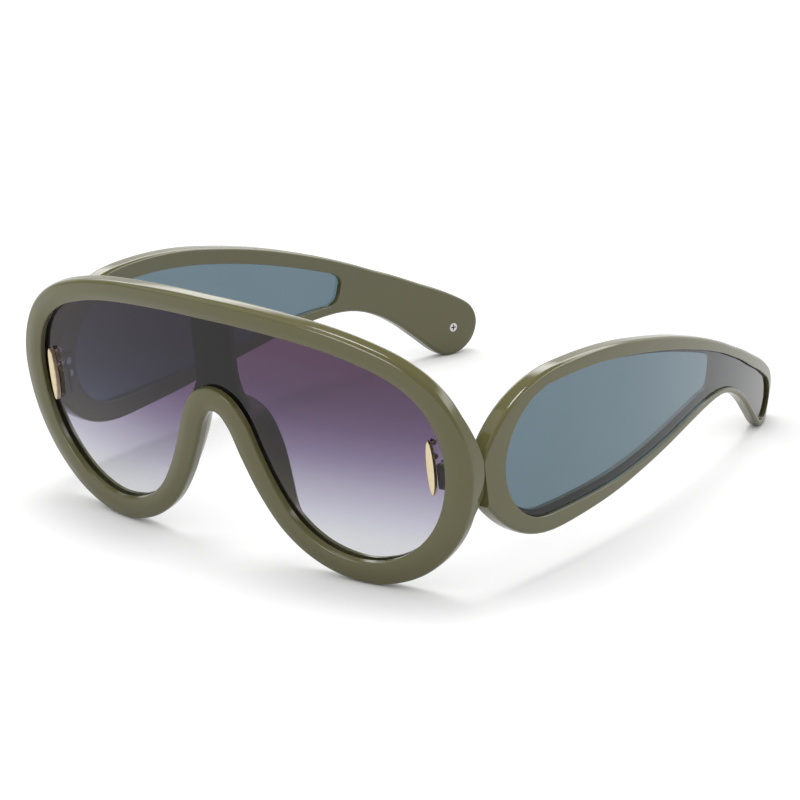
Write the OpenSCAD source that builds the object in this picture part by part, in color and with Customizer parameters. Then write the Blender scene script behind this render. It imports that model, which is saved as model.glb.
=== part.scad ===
// Oversized shield sunglasses: a one-piece gradient lens in a thick moulded mask rim,
// and two wide teardrop temples that carry tinted inserts.
// Left and right are the wearer's. X is across the face, Y runs back along the temples, Z is up.
// The glasses stand on the rim's two lowest points and on the two temple tips.

/* [Front] */
// Width of the lens opening
opening_w = 127; // [110:1:140]
// Height of the lens opening
opening_h = 58.4; // [50:0.2:64]
// How far the opening's ends lie behind its middle
wrap_depth = 7.8; // [5:0.1:10]
// Lean of the front, its top towards the viewer, in degrees
lean = 9.2; // [5:0.1:12]
// Thickness of the rim from front to back
rim_t = 4.3; // [4.2:0.1:5]
// Width of the rim at its ends, where it is widest
rim_w = 7; // [6.4:0.1:8]
// Rounding of the rim's outer front edge
rim_round = 2; // [1.2:0.1:2.2]
// Rounding of the rim's inner front edge
lip_round = 0.6; // [0.4:0.1:1.2]
// Rounding of the rim's outer back edge
back_round = 1.2; // [0.6:0.1:1.4]
// Rise of the rim's crowned front face
crown = 0.35; // [0:0.05:0.6]

/* [Nose] */
// How far the nose pads stand out behind the rim
pad_reach = 6.5; // [4:0.1:8]
// How far the crests of the pads lean away from the nose
pad_flare = 1.8; // [1:0.1:3]
// Width of the web between the top rim and the nose arch
web_w = 12; // [8:0.5:14]
// Thickness of the web
web_t = 1.5; // [1:0.1:1.8]

/* [Shield lens] */
// Thickness of the shield lens
lens_t = 1.4; // [1.2:0.1:1.6]
// Depth of the lens behind the rim's front face
lens_depth = 1.7; // [1.5:0.1:1.8]
// Depth of the groove that holds the lens
groove = 1.5; // [1.2:0.1:1.8]

/* [Badges] */
// Height of a badge
badge_h = 14.6; // [10:0.1:15]
// Width of a badge
badge_w = 2.1; // [2:0.1:3]
// Thickness of a badge
badge_t = 1.5; // [1.2:0.1:1.7]
// Distance of a badge's middle from the end of the lens opening
badge_inset = 4; // [3:0.1:5.5]
// Distance between a badge's two posts
badge_pitch = 3.8; // [3.4:0.1:4]
// Diameter of a post
post_d = 0.8; // [0.7:0.1:1]
// Diameter of a push-on washer
clip_d = 1.6; // [1.5:0.1:2.2]
// Thickness of a push-on washer
clip_t = 0.5; // [0.4:0.1:0.8]

/* [Hinges] */
// Height of a hinge
hinge_h = 6.8; // [6.4:0.1:8]
// Diameter of a hinge knuckle
knuckle_d = 3.2; // [2.8:0.1:3.4]
// Diameter of the hinge screw's shank
pin_d = 1.4; // [1.2:0.1:1.6]
// Thickness of a hinge leaf
leaf_t = 0.7; // [0.5:0.1:0.9]
// Length of the front leaf beside its knuckles
front_leaf_l = 2.5; // [2.4:0.1:3.4]
// Length of the temple leaf beside its knuckles
temple_leaf_l = 4.4; // [4:0.1:5]
// Diameter of a hinge rivet
rivet_d = 1.1; // [0.9:0.1:1.3]
// Diameter of a rivet's head
rivet_head_d = 1.9; // [1.6:0.1:2.1]
// Distance between the two rivets of a leaf
rivet_pitch = 3.6; // [2.8:0.1:4]
// Height of the hinge seats behind the rim
lug_rise = 0.6; // [0.2:0.1:0.8]
// Height of the end-pieces behind the rim
butt_rise = 2.6; // [2:0.1:2.8]
// Height of the middle of the hinges, from the middle of the opening
hinge_z = -4.7; // [-5.4:0.1:-4]

/* [Temples] */
// Length of a temple behind its butt joint
temple_l = 163.6; // [150:0.2:172]
// Greatest height of a temple
temple_h = 42; // [38:0.1:45]
// Thickness of a temple at its front
temple_t = 4.8; // [4.6:0.1:5.4]
// How far a temple's tip bends in from its widest place
temple_bow = 20.3; // [14:0.1:24]
// How far the temples bulge out beyond the ends of the rim
temple_stand = 1.9; // [1.2:0.1:2.6]
// Width of a temple's rim above its insert
temple_rim = 3.8; // [3.2:0.1:4.4]
// Depth of the recess in the outside of a temple
recess_d = 0.9; // [0.8:0.1:1.4]
// Thickness of the tinted insert
insert_t = 2; // [1.2:0.1:2.1]
// Width of the ledge that the insert lies on
ledge = 1.1; // [0.8:0.1:1.4]
// Rounding of a temple's edges
temple_round = 0.6; // [0.4:0.1:1]

/* [Tip screws] */
// Diameter of the head
tip_head_d = 2.6; // [2.2:0.1:3]
// Thickness of the head
tip_head_t = 0.5; // [0.4:0.1:0.6]
// Diameter of the shank
tip_shank_d = 1.4; // [1.2:0.1:1.6]

/* [Fits] */
// Clearance round the shield lens and the inserts
seat_gap = 0.1; // [0.05:0.01:0.15]
// Radial clearance of a shank or post in its hole
run_gap = 0.05; // [0.03:0.01:0.08]
// Gap between hinge knuckles, and at the butt joint
joint_gap = 0.1; // [0.08:0.01:0.15]

/* [Hidden] */

$fn = 32;
olive = "#6b6948";
gilt = "#e6cf9a";
steel = "#b9bcc0";
gunmetal = "#4a4b50";
lens_tint = [0.38, 0.33, 0.45, 0.75];
insert_tint = [0.42, 0.49, 0.53, 0.85];

// Cutters run past the faces that they open by this much
overrun = 1;

// Right half of the lens opening, from the top middle round the end to the nose arch.
// Each row: shares of the half width and half height, then the share of the rim's width.
opening_shares = [
    [0, 1, 0.79], [0.16, 0.995, 0.79], [0.34, 0.965, 0.79], [0.52, 0.91, 0.79], [0.68, 0.82, 0.8],
    [0.82, 0.69, 0.83], [0.92, 0.51, 0.88], [0.98, 0.27, 0.94], [1, 0, 1], [0.98, -0.33, 1],
    [0.92, -0.62, 0.98], [0.82, -0.85, 0.95], [0.7, -0.975, 0.91], [0.58, -0.995, 0.87],
    [0.45, -0.91, 0.83], [0.34, -0.725, 0.83], [0.26, -0.455, 0.87], [0.2, -0.16, 0.9],
    [0.15, 0.12, 0.92], [0.085, 0.3, 0.93], [0, 0.36, 0.93]];
// Points between two rows of the table
opening_steps = 2;
// Share of the wrap that the ends give back by flattening out
wrap_flat_share = 0.285;

// A temple from its front to the middle of its round tip.
// Each row: share of the length, shares of the height for the midline and for half the height,
// and shares of the rim's width above and below the insert.
temple_shares = [
    [0, 0.735, 0.43, 1, 1.15], [0.075, 0.75, 0.487, 1, 1.2], [0.163, 0.756, 0.5, 0.97, 1.25],
    [0.25, 0.764, 0.493, 0.96, 1.1], [0.336, 0.763, 0.464, 0.98, 0.9],
    [0.421, 0.756, 0.411, 0.95, 0.71], [0.507, 0.743, 0.346, 0.92, 0.62],
    [0.58, 0.724, 0.282, 0.88, 0.57], [0.648, 0.695, 0.223, 0.82, 0.54],
    [0.709, 0.653, 0.175, 0.76, 0.47], [0.758, 0.598, 0.15, 0.75, 0.42],
    [0.806, 0.524, 0.148, 0.8, 0.4], [0.855, 0.425, 0.16, 0.88, 0.4],
    [0.904, 0.31, 0.187, 0.9, 0.4], [0.949, 0.192, 0.203, 0.9, 0.45]];
// Points between two rows of the table
temple_steps = 3;
// Angles of the sections of the round tip
tip_angles = [24, 44, 62, 78];
// Length of the round front of the temple and of its recess, as shares of the length
nose_share = 0.184;
recess_nose_share = 0.112;
// Where the butt joint cuts the round front off, as a share of the length
butt_share = 0.0085;
// Where the recess starts and where the window ends, as shares of the length
recess_start_share = 0.052;
window_end_share = 0.7;
// Where the temples are widest apart, as a share of the length
bow_share = 0.247;
// How much of its thickness a temple loses towards its tip
taper_share = 0.17;
// Angles of the sections that round off a front, the window's end and the tip
nose_angles = [7, 14, 22, 31, 41, 52, 64, 76];
end_angles = [0, 28, 50, 66, 78];
// Rounding of the window's end, as a share of half the temple's height there
end_round_share = 0.5;

// Half sizes of the opening
half_w = opening_w / 2;
half_h = opening_h / 2;

// Depth of the front face behind its middle, at a distance x from the middle
function wrap(x) = let (s = x / half_w)
    wrap_depth * ((1 + wrap_flat_share) * pow(s, 2) - wrap_flat_share * pow(s, 4));

// Slope of the front face there, in degrees
function wrap_angle(x) = let (s = x / half_w)
    atan(wrap_depth / half_w * (2 * (1 + wrap_flat_share) * s - 4 * wrap_flat_share * pow(s, 3)));

// Point of a smooth curve between b and c
function blend(a, b, c, d, t) =
    b + t / 2 * (c - a + t * (2 * a - 5 * b + 4 * c - d + t * (3 * (b - c) + d - a)));

// Smooth curve through the rows of a table, with a row before its start and one after its end
function flow(rows, before, after, steps) = let (p = concat([before], rows, [after])) [
    for (i = [1 : len(rows) - 1]) for (j = [0 : steps - 1])
        blend(p[i - 1], p[i], p[i + 1], p[i + 2], j / steps),
    rows[len(rows) - 1]];

// Row of a table, mirrored about the middle of the glasses
function flip(row) = [-row[0], row[1], row[2]];

// The whole opening: rows of x, z and the rim's width there, once round
opening_rows = [for (row = opening_shares) [row[0] * half_w, row[1] * half_h, row[2] * rim_w]];
opening_right = flow(opening_rows, flip(opening_rows[1]), flip(opening_rows[len(opening_rows) - 2]),
    opening_steps);
opening_last = len(opening_right) - 1;
opening_line = concat(opening_right, [for (i = [opening_last - 1 : -1 : 1]) flip(opening_right[i])]);
opening_count = len(opening_line);

// Direction out of the opening at one of its points
function outward(i) = let (
    a = opening_line[(i + opening_count - 1) % opening_count],
    b = opening_line[(i + 1) % opening_count],
    d = norm([b[0] - a[0], b[1] - a[1]]))
    [(a[1] - b[1]) / d, (b[0] - a[0]) / d];

// Point u outside the opening's edge and d behind the front face
function rim_point(i, u, d) = let (p = opening_line[i], n = outward(i), x = p[0] + u * n[0])
    [x, wrap(x) + d, p[1] + u * n[1]];

// Depths of the groove's two walls
groove_front = lens_depth;
groove_back = lens_depth + lens_t + seat_gap;
// Share of a rounding that its middle point is away from the corner
corner_share = 0.29;
// Rounding of the rim's inner back edge
edge_round = 0.4;

// Section of the rim, as places out from the opening and back from the front face
function rim_section(w) = [
    [0, groove_front], [0, lip_round], [corner_share * lip_round, corner_share * lip_round],
    [lip_round, 0], [w / 2, -crown], [w - rim_round, 0],
    [w - corner_share * rim_round, corner_share * rim_round], [w, rim_round],
    [w, rim_t - back_round], [w - corner_share * back_round, rim_t - corner_share * back_round],
    [w - back_round, rim_t], [edge_round, rim_t],
    [corner_share * edge_round, rim_t - corner_share * edge_round], [0, rim_t - edge_round],
    [0, groove_back], [groove, groove_back], [groove, groove_front]];

// Triangles of a tube of n sections with m points each, closed to a ring or not
function tube_faces(n, m, ring) = [
    for (i = [0 : ring ? n - 1 : n - 2]) for (j = [0 : m - 1])
        let (a = i * m + j, b = i * m + (j + 1) % m, c = (a + m) % (n * m), d = (b + m) % (n * m))
            each [[a, b, c], [b, d, c]]];

// Closed solid through sections of m points each
module loft(sections) {
    m = len(sections[0]);
    n = len(sections);
    end = (n - 1) * m;
    caps = [for (j = [1 : m - 2]) each [[0, j + 1, j], [end, end + j, end + j + 1]]];
    polyhedron(points = [for (s = sections) each s], faces = concat(tube_faces(n, m, false), caps));
}

// The swept rim
module rim() {
    sections = [for (i = [0 : opening_count - 1])
        [for (p = rim_section(opening_line[i][2])) rim_point(i, p[0], p[1])]];
    m = len(sections[0]);
    polyhedron(points = [for (s = sections) each s], faces = tube_faces(opening_count, m, true));
}

// Rows of the opening's right half that carry a nose pad, from the lower leg to the arch
pad_first = 30;
pad_last = 39;
// Half the points of a pad's section
pad_arc = [0 : 30 : 180];

// Width of a pad's foot, as a share of the rim's back
pad_share = 0.88;
// Depth at which the pads leave the middle of the rim's back wall
pad_base = (groove_back + rim_t) / 2;

// How full the pad's long profile is: below 1 it rises sooner
pad_fullness = 0.8;

// How far the pad stands out at one of its rows, as a share of its reach
function pad_rise(i) = pow(sin(180 * (i - pad_first) / (pad_last - pad_first)), pad_fullness);

// Nose pad on the right half of the front, behind the rim
module nose_pad() {
    loft([for (i = [pad_first : pad_last])
        let (w = opening_line[i][2], rise = pad_rise(i), half = (w - back_round) / 2)
            [for (a = pad_arc) rim_point(i,
                half * (1 + pad_share * cos(a)) - pad_flare * rise * pow(sin(a), 2),
                pad_base + (rim_t - pad_base + pad_reach) * rise * sin(a))]]);
}

// Web behind the lens, from the top rim down to the nose arch, where it spreads.
// Each row: share of half its width, and how far above the arch's edge, as a share of the rim's width
web_shares = [[1, 0.6], [1.04, 0.25], [1.14, -0.1], [1.33, -0.45], [1.45, -0.8]];

module web() {
    top = half_h + groove;
    arch_z = opening_rows[len(opening_rows) - 1][1];
    side = concat([[web_w / 2, top]], [for (r = web_shares) [r[0] * web_w / 2, arch_z + r[1] * rim_w]]);
    translate([0, groove_back + 2 * seat_gap + web_t, 0]) rotate([90, 0, 0]) linear_extrude(web_t)
        polygon(concat(side, [for (i = [len(side) - 1 : -1 : 0]) [-side[i][0], side[i][1]]]));
}

// Gap round a turning knuckle
turn_gap = 0.3;
// Place of the hinge pin on the wearer's left, in the leaning frame of the front
knuckle_r = knuckle_d / 2;
temple_x = half_w + rim_w + temple_stand;
temple_face = temple_x - temple_bow * pow(bow_share / (1 - bow_share), 2) - temple_t;
hinge_x = temple_face - knuckle_r - turn_gap;
seat_y = wrap(hinge_x) + rim_t + lug_rise;
hinge_y = seat_y + knuckle_r + turn_gap;
butt_y = wrap(hinge_x) + rim_t + butt_rise;
leaf_end = hinge_x - knuckle_r - turn_gap - front_leaf_l;
knuckle_count = 5;
knuckle_h = (hinge_h - (knuckle_count - 1) * joint_gap) / knuckle_count;

// End-piece that the temple butts against, flush with the rim's side.
// Heights above and below the hinge's middle, at the butt joint and where it grows out of the rim
end_up = 5;
end_down = 3.8;
end_root_up = 19.5;
end_root_down = 10;
end_in = max(half_w + groove + edge_round, temple_face + turn_gap);

module end_piece() {
    root = wrap(half_w + rim_w / 2) + rim_t - back_round;
    back = butt_y - joint_gap;
    intersection() {
        translate([0, butt_y, 0]) rotate([90, 0, 0]) linear_extrude(butt_y)
            polygon([for (i = [0 : opening_count - 1])
                let (p = rim_point(i, opening_line[i][2], 0)) [p[0], p[2]]]);
        translate([end_in, 0, 0]) rotate([90, 0, 90]) linear_extrude(rim_w)
            polygon([[root, hinge_z + end_root_up], [back, hinge_z + end_up], [back, hinge_z - end_down],
                [root, hinge_z - end_root_down]]);
    }
}

// Tongue behind the lens that carries the front hinge leaf
module tongue() {
    front = groove_back + 2 * seat_gap;
    translate([0, 0, hinge_z - hinge_h / 2]) linear_extrude(hinge_h)
        polygon([[leaf_end, wrap(leaf_end) + front], [half_w, wrap(half_w) + front],
            [end_in + back_round, wrap(end_in) + front], [end_in + back_round, seat_y],
            [leaf_end, seat_y]]);
}

// Rivets of the front leaf go into blind holes of this depth
rivet_depth = 1.2;
front_rivet_x = leaf_end + front_leaf_l / 2;

module front_rivet_places() {
    for (s = [-1, 1]) translate([front_rivet_x, seat_y, hinge_z + s * rivet_pitch / 2]) rotate([90, 0, 0])
        children();
}

// Lifts the leaning front until its rim stands on the ground
front_low = min([for (i = [0 : opening_last]) let (p = rim_point(i, opening_line[i][2], rim_round))
    p[1] * sin(lean) + p[2] * cos(lean)]);
front_lift = -front_low;

// Places what is modelled upright and seen from its middle into the standing, leaning pose
module on_front() {
    translate([0, -depth_mid, front_lift]) rotate([lean, 0, 0]) children();
}

module on_temple() {
    translate([0, temple_start - depth_mid, temple_lift]) children();
}

module front_frame() {
    color(olive) on_front() difference() {
        union() {
            rim();
            web();
            for (s = [0, 1]) mirror([s, 0, 0]) {
                nose_pad();
                end_piece();
                tongue();
            }
        }
        for (s = [0, 1]) mirror([s, 0, 0]) front_rivet_places()
            translate([0, 0, -overrun]) cylinder(d = rivet_d + 2 * run_gap, h = rivet_depth + overrun);
    }
}

// Edge of the shield lens, in its groove
lens_reach = groove - seat_gap;

// Places across the front where the bent sheet of the lens is folded
sheet_steps = 36;
sheet_x = [for (i = [0 : sheet_steps]) (half_w + rim_w) * (2 * i / sheet_steps - 1)];

// The lens: a bent sheet, cut to the outline of the groove
module lens_body() {
    front = lens_depth + seat_gap / 2;
    intersection() {
        translate([0, opening_h, 0]) rotate([90, 0, 0]) linear_extrude(2 * opening_h)
            polygon([for (i = [0 : opening_count - 1]) let (p = rim_point(i, lens_reach, 0)) [p[0], p[2]]]);
        translate([0, 0, -opening_h]) linear_extrude(2 * opening_h)
            polygon(concat([for (x = sheet_x) [x, wrap(x) + front]],
                [for (i = [sheet_steps : -1 : 0]) [sheet_x[i], wrap(sheet_x[i]) + front + lens_t]]));
    }
}

// Frame of a badge: its origin on the lens's front face, its Z pointing out of the lens
badge_x = half_w - badge_inset;
badge_z = -1;

module on_badge() {
    translate([badge_x, wrap(badge_x) + lens_depth + seat_gap / 2, badge_z])
        rotate([0, 0, wrap_angle(badge_x)]) rotate([90, 0, 0]) children();
}

// The posts sit in the upper half of a badge, clear of the hinge tongue behind the lens
post_lift = 3.9;

module post_places() {
    for (s = [-1, 1]) translate([0, post_lift + s * badge_pitch / 2, 0]) children();
}

module shield_lens() {
    color(lens_tint) on_front() difference() {
        lens_body();
        for (s = [0, 1]) mirror([s, 0, 0]) on_badge() post_places()
            translate([0, 0, -lens_t - overrun]) cylinder(d = post_d + 2 * run_gap, h = lens_t + 2 * overrun);
    }
}

// Gap under a badge, and the step at its edge
badge_stand = 0.1;
badge_edge = 0.3;
// Outline of a badge: two shallow arcs with rounded ends
badge_fullness = 0.9;
badge_outline_share = [for (a = [0 : 15 : 345])
    [sign(cos(a)) * pow(abs(cos(a)), badge_fullness), sin(a)]];

module badge_plate(w, h, t) {
    linear_extrude(t) polygon([for (p = badge_outline_share) [p[0] * w / 2, p[1] * h / 2]]);
}

module badge() {
    color(gilt) on_front() on_badge() {
        translate([0, 0, badge_stand]) badge_plate(badge_w, badge_h, badge_t - badge_edge);
        translate([0, 0, badge_stand + badge_t - badge_edge])
            badge_plate(badge_w - 2 * badge_edge, badge_h - 4 * badge_edge, badge_edge);
        post_places() translate([0, 0, -lens_t - 2 * clip_t])
            cylinder(d = post_d, h = lens_t + 2 * clip_t + badge_stand + badge_edge);
    }
}

module badge_clips() {
    color(steel) on_front() on_badge() post_places() difference() {
        translate([0, 0, -lens_t - seat_gap - clip_t]) cylinder(d = clip_d, h = clip_t);
        translate([0, 0, -lens_t - seat_gap - clip_t - overrun])
            cylinder(d = post_d + run_gap, h = clip_t + 2 * overrun);
    }
}

// One of the knuckles, counted from the bottom
module knuckle(k) {
    translate([hinge_x, hinge_y, hinge_z - hinge_h / 2 + k * (knuckle_h + joint_gap)]) children();
}

module pin_bore() {
    translate([hinge_x, hinge_y, hinge_z - hinge_h / 2 - overrun])
        cylinder(d = pin_d + 2 * run_gap, h = hinge_h + 2 * overrun);
}

module front_hinge() {
    color(gunmetal) on_front() difference() {
        union() {
            translate([leaf_end, seat_y, hinge_z - hinge_h / 2]) cube([front_leaf_l, leaf_t, hinge_h]);
            for (k = [0, 2, 4]) knuckle(k) {
                cylinder(r = knuckle_r, h = knuckle_h);
                translate([-knuckle_r - 2 * turn_gap, -knuckle_r - turn_gap, 0])
                    cube([knuckle_r + 2 * turn_gap, leaf_t, knuckle_h]);
            }
        }
        pin_bore();
        front_rivet_places() translate([0, 0, -leaf_t - overrun])
            cylinder(d = rivet_d + 2 * run_gap, h = leaf_t + 2 * overrun);
    }
}

// Shank and head of a rivet or screw, its head above Z zero
module pin(d, length, head_d, head_t) {
    translate([0, 0, -length]) cylinder(d = d, h = length);
    cylinder(d = head_d, h = head_t);
}

// Thickness of a rivet's head
rivet_head_t = 0.35;

module front_hinge_rivets() {
    color(steel) on_front() front_rivet_places() translate([0, 0, -leaf_t]) rotate([180, 0, 0])
        pin(rivet_d, leaf_t + rivet_depth - 2 * run_gap, rivet_head_d, rivet_head_t);
}

// Thickness of the hinge screw's head, and width of its slot
screw_head_t = 0.6;
slot_w = 0.35;

module hinge_screw() {
    color(steel) on_front() translate([hinge_x, hinge_y, hinge_z + hinge_h / 2]) difference() {
        pin(pin_d, hinge_h, knuckle_d - 2 * slot_w, screw_head_t);
        translate([-knuckle_r, -slot_w / 2, screw_head_t / 2]) cube([knuckle_d, slot_w, screw_head_t]);
    }
}

// Distance of a temple's outer face from the middle of the glasses, at a place along it
function bow_x(y) = temple_x - temple_bow * pow((y / temple_l - bow_share) / (1 - bow_share), 2);

// Thickness of a temple there
function thick(y) = temple_t * (1 - taper_share * y / temple_l);

// A temple's rows: y, midline, half height, and the rim's width above and below the insert
temple_rows = [for (r = temple_shares) [r[0] * temple_l, r[1] * temple_h, r[2] * temple_h,
    r[3] * temple_rim, r[4] * temple_rim]];
row_count = len(temple_rows);
// The row past the last one is as high as the row before it, so that the last is the widest of the tip
past_row = 2 * temple_rows[row_count - 1] - temple_rows[row_count - 2];
temple_line = flow(temple_rows, 2 * temple_rows[0] - temple_rows[1],
    [past_row[0], past_row[1], temple_rows[row_count - 2][2], past_row[3], past_row[4]], temple_steps);
line_count = len(temple_line);

// Direction of a temple's midline at one of its rows
function heading(i) = let (a = temple_line[max(0, i - 1)], b = temple_line[min(line_count - 1, i + 1)],
    d = norm([b[0] - a[0], b[1] - a[1]])) [(b[0] - a[0]) / d, (b[1] - a[1]) / d];

// Number of the last row that lies in front of a place along the temple
function row_before(y) = max([for (k = [0 : line_count - 2]) temple_line[k][0] <= y ? k : 0]);

// Row at any place along the temple
function row_at(y) = let (i = row_before(y), a = temple_line[i], b = temple_line[i + 1])
    a + (y - a[0]) / (b[0] - a[0]) * (b - a);

// Places along a temple, each with the share of the full height there: the round front first
function nose_places(start, length) = [for (a = nose_angles) [start + length * (1 - cos(a)), sin(a)]];
function row_places(start, stop) = [for (r = temple_line) if (r[0] > start && r[0] < stop) [r[0], 1]];

// Point v above a middle c, square to the heading h, and e in from the outer face
function temple_point(c, h, v, e) = let (y = c[0] - v * h[1]) [bow_x(y) - e, y, c[1] + v * h[0]];

// Most that an edge is rounded, as shares of half the section's height and of its thickness
round_high_share = 0.4;
round_thick_share = 0.3;

// Section of half height h round a middle c, drawn in from its faces, with rounded edges
function temple_section(c, dir, h, drawn_in) = let (
    t = thick(c[0]) - 2 * drawn_in, k = corner_share,
    r = min(temple_round, round_high_share * h), q = min(r, round_thick_share * t),
    half = [[h - r, 0], [h - k * r, k * q], [h, q], [h, t - q], [h - k * r, t - k * q], [h - r, t]])
    concat([for (p = half) temple_point(c, dir, p[0], drawn_in + p[1])],
        [for (i = [len(half) - 1 : -1 : 0]) temple_point(c, dir, -half[i][0], drawn_in + half[i][1])]);

// Middle and radius of the round tip, and the direction there
tip_row = temple_line[line_count - 1];
tip_r = tip_row[2];
tip_heading = heading(line_count - 1);

// How late the round tip's faces draw in: a high power keeps them flat for longer
tip_fade = 6;

// Sections of the temple, and of the round tip behind them
nose_l = nose_share * temple_l;
body_sections = concat(
    [for (p = concat(nose_places(0, nose_l), row_places(nose_l, temple_l)))
        let (r = row_at(p[0])) temple_section(r, heading(row_before(p[0])), r[2] * p[1], 0)],
    [for (a = concat([0], tip_angles)) temple_section(
        [tip_row[0] + tip_r * sin(a) * tip_heading[0], tip_row[1] + tip_r * sin(a) * tip_heading[1]],
        tip_heading, tip_r * cos(a), temple_round * pow(sin(a), tip_fade))]);

// Lifts the temples until their tips stand on the ground
temple_lift = -min([for (s = body_sections) for (p = s) p[2]]);

// Middle of the whole model, front to back
temple_start = butt_y * cos(lean) - hinge_z * sin(lean) - butt_share * temple_l;
front_face = -crown * cos(lean) - (half_h + opening_rows[0][2] / 2) * sin(lean);
temple_end = temple_start + max([for (s = body_sections) for (p = s) p[1]]);
depth_mid = (temple_end + front_face) / 2;

// Section of a slab that follows the recess's outline, drawn in all round, from depth e0 to e1
function slab_section(c, dir, up, low, e0, e1) = [temple_point(c, dir, -low, e1),
    temple_point(c, dir, -low, e0), temple_point(c, dir, up, e0), temple_point(c, dir, up, e1)];

// The slab: it fills the recess's outline to the round tip, or to the rounded end of the window
module slab(e0, e1, drawn_in, is_window) {
    start = recess_start_share * temple_l + drawn_in;
    length = recess_nose_share * temple_l;
    stop = window_end_share * temple_l;
    end_l = end_round_share * row_at(stop)[2];
    front = nose_places(start, length);
    places = is_window
        ? concat(front, row_places(start + length, stop - end_l),
            [for (a = end_angles) [stop - end_l * (1 - sin(a)), sqrt(cos(a))]])
        : concat(front, row_places(start + length, temple_l));
    up = tip_row[2] - tip_row[3] - drawn_in;
    low = tip_row[2] - tip_row[4] - drawn_in;
    tip = [for (a = concat([0], tip_angles)) let (reach = (up + low) / 2 * sin(a))
        slab_section([tip_row[0] + reach * tip_heading[0], tip_row[1] + reach * tip_heading[1]],
            tip_heading, up * cos(a), low * cos(a), e0, e1)];
    loft(concat([for (p = places) let (r = row_at(p[0])) slab_section(r, heading(row_before(p[0])),
        (r[2] - r[3] - drawn_in) * p[1], (r[2] - r[4] - drawn_in) * p[1], e0, e1)],
        is_window ? [] : tip));
}

// Middle of the tip screw, on the inner face
tip_y = tip_row[0];
tip_angle = atan(2 * temple_bow * (tip_y / temple_l - bow_share) / pow(1 - bow_share, 2) / temple_l);
wall_t = thick(tip_y) - recess_d - insert_t - seat_gap;
tip_bite_share = 0.7;
tip_bite = tip_bite_share * insert_t;

module on_tip_screw() {
    translate([bow_x(tip_y) - thick(tip_y), tip_y, tip_row[1]]) rotate([0, 0, tip_angle])
        rotate([0, -90, 0]) children();
}

// Start of the temple's hinge leaf, and the pad moulded on the temple under it
leaf_start = hinge_y + knuckle_r + turn_gap;

module temple_rivet_places() {
    for (s = [-1, 1])
        translate([temple_face, leaf_start + temple_leaf_l / 2, hinge_z + s * rivet_pitch / 2])
            rotate([0, 90, 0]) children();
}

module leaf_pad() {
    translate([temple_face, leaf_start - leaf_t, hinge_z - hinge_h / 2])
        cube([leaf_t + edge_round, temple_leaf_l + 2 * leaf_t, hinge_h]);
}

module left_temple_arm() {
    color(olive) difference() {
        union() {
            on_temple() loft(body_sections);
            on_front() leaf_pad();
        }
        on_temple() {
            slab(-overrun, recess_d + insert_t + seat_gap, 0, false);
            slab(recess_d, temple_t + overrun, ledge, true);
            on_tip_screw() {
                translate([0, 0, -tip_head_t])
                    cylinder(d = tip_head_d + 2 * run_gap, h = tip_head_t + overrun);
                translate([0, 0, -recess_d - wall_t])
                    cylinder(d = tip_shank_d + 2 * run_gap, h = recess_d + wall_t);
            }
        }
        on_front() translate([0, butt_y + joint_gap - temple_l, -temple_l])
            cube([temple_l, temple_l, 2 * temple_l]);
        on_front() temple_rivet_places() translate([0, 0, -overrun])
            cylinder(d = rivet_d + 2 * run_gap, h = rivet_depth + overrun);
    }
}

module left_temple_lens() {
    color(insert_tint) on_temple() difference() {
        slab(recess_d, recess_d + insert_t, seat_gap, false);
        on_tip_screw() translate([0, 0, -wall_t - seat_gap - tip_bite - run_gap])
            cylinder(d = tip_shank_d + 2 * run_gap, h = tip_bite + run_gap + overrun);
    }
}

module left_temple_hinge() {
    color(gunmetal) on_front() difference() {
        union() {
            translate([temple_face - leaf_t, leaf_start, hinge_z - hinge_h / 2])
                cube([leaf_t, temple_leaf_l, hinge_h]);
            for (k = [1, 3]) knuckle(k) {
                cylinder(r = knuckle_r, h = knuckle_h);
                translate([knuckle_r + turn_gap - leaf_t, 0, 0])
                    cube([leaf_t, knuckle_r + 2 * turn_gap, knuckle_h]);
                cube([knuckle_r, knuckle_r / 2, knuckle_h]);
            }
        }
        pin_bore();
        temple_rivet_places() translate([0, 0, -leaf_t - overrun])
            cylinder(d = rivet_d + 2 * run_gap, h = leaf_t + 2 * overrun);
    }
}

module left_temple_hinge_rivets() {
    color(steel) on_front() temple_rivet_places() translate([0, 0, -leaf_t]) rotate([180, 0, 0])
        pin(rivet_d, leaf_t + rivet_depth - 2 * run_gap, rivet_head_d, rivet_head_t);
}

// The cross in the tip screw's head
cross_w = 0.35;
cross_share = 0.67;
cross_l = cross_share * tip_head_d;

module left_tip_screw() {
    color(steel) on_temple() on_tip_screw() difference() {
        translate([0, 0, -tip_head_t]) pin(tip_shank_d, wall_t + seat_gap + tip_bite - tip_head_t, tip_head_d,
            tip_head_t);
        for (a = [0, 90]) rotate([0, 0, a]) translate([-cross_l / 2, -cross_w / 2, -tip_head_t / 2])
            cube([cross_l, cross_w, tip_head_t]);
    }
}

module right() {
    mirror([1, 0, 0]) children();
}

front_frame();
shield_lens();
badge();  // badge_left
right() badge();  // badge_right
badge_clips();  // badge_clips_left
right() badge_clips();  // badge_clips_right
front_hinge();  // front_hinge_left
right() front_hinge();  // front_hinge_right
front_hinge_rivets();  // front_hinge_rivets_left
right() front_hinge_rivets();  // front_hinge_rivets_right
hinge_screw();  // hinge_screw_left
right() hinge_screw();  // hinge_screw_right
left_temple_arm();  // temple_arm_left
right() left_temple_arm();  // temple_arm_right
left_temple_lens();  // temple_lens_left
right() left_temple_lens();  // temple_lens_right
left_temple_hinge();  // temple_hinge_left
right() left_temple_hinge();  // temple_hinge_right
left_temple_hinge_rivets();  // temple_hinge_rivets_left
right() left_temple_hinge_rivets();  // temple_hinge_rivets_right
left_tip_screw();  // tip_screw_left
right() left_tip_screw();  // tip_screw_right
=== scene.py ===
from math import atan, cos, hypot, pi, radians, sin, sqrt

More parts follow.
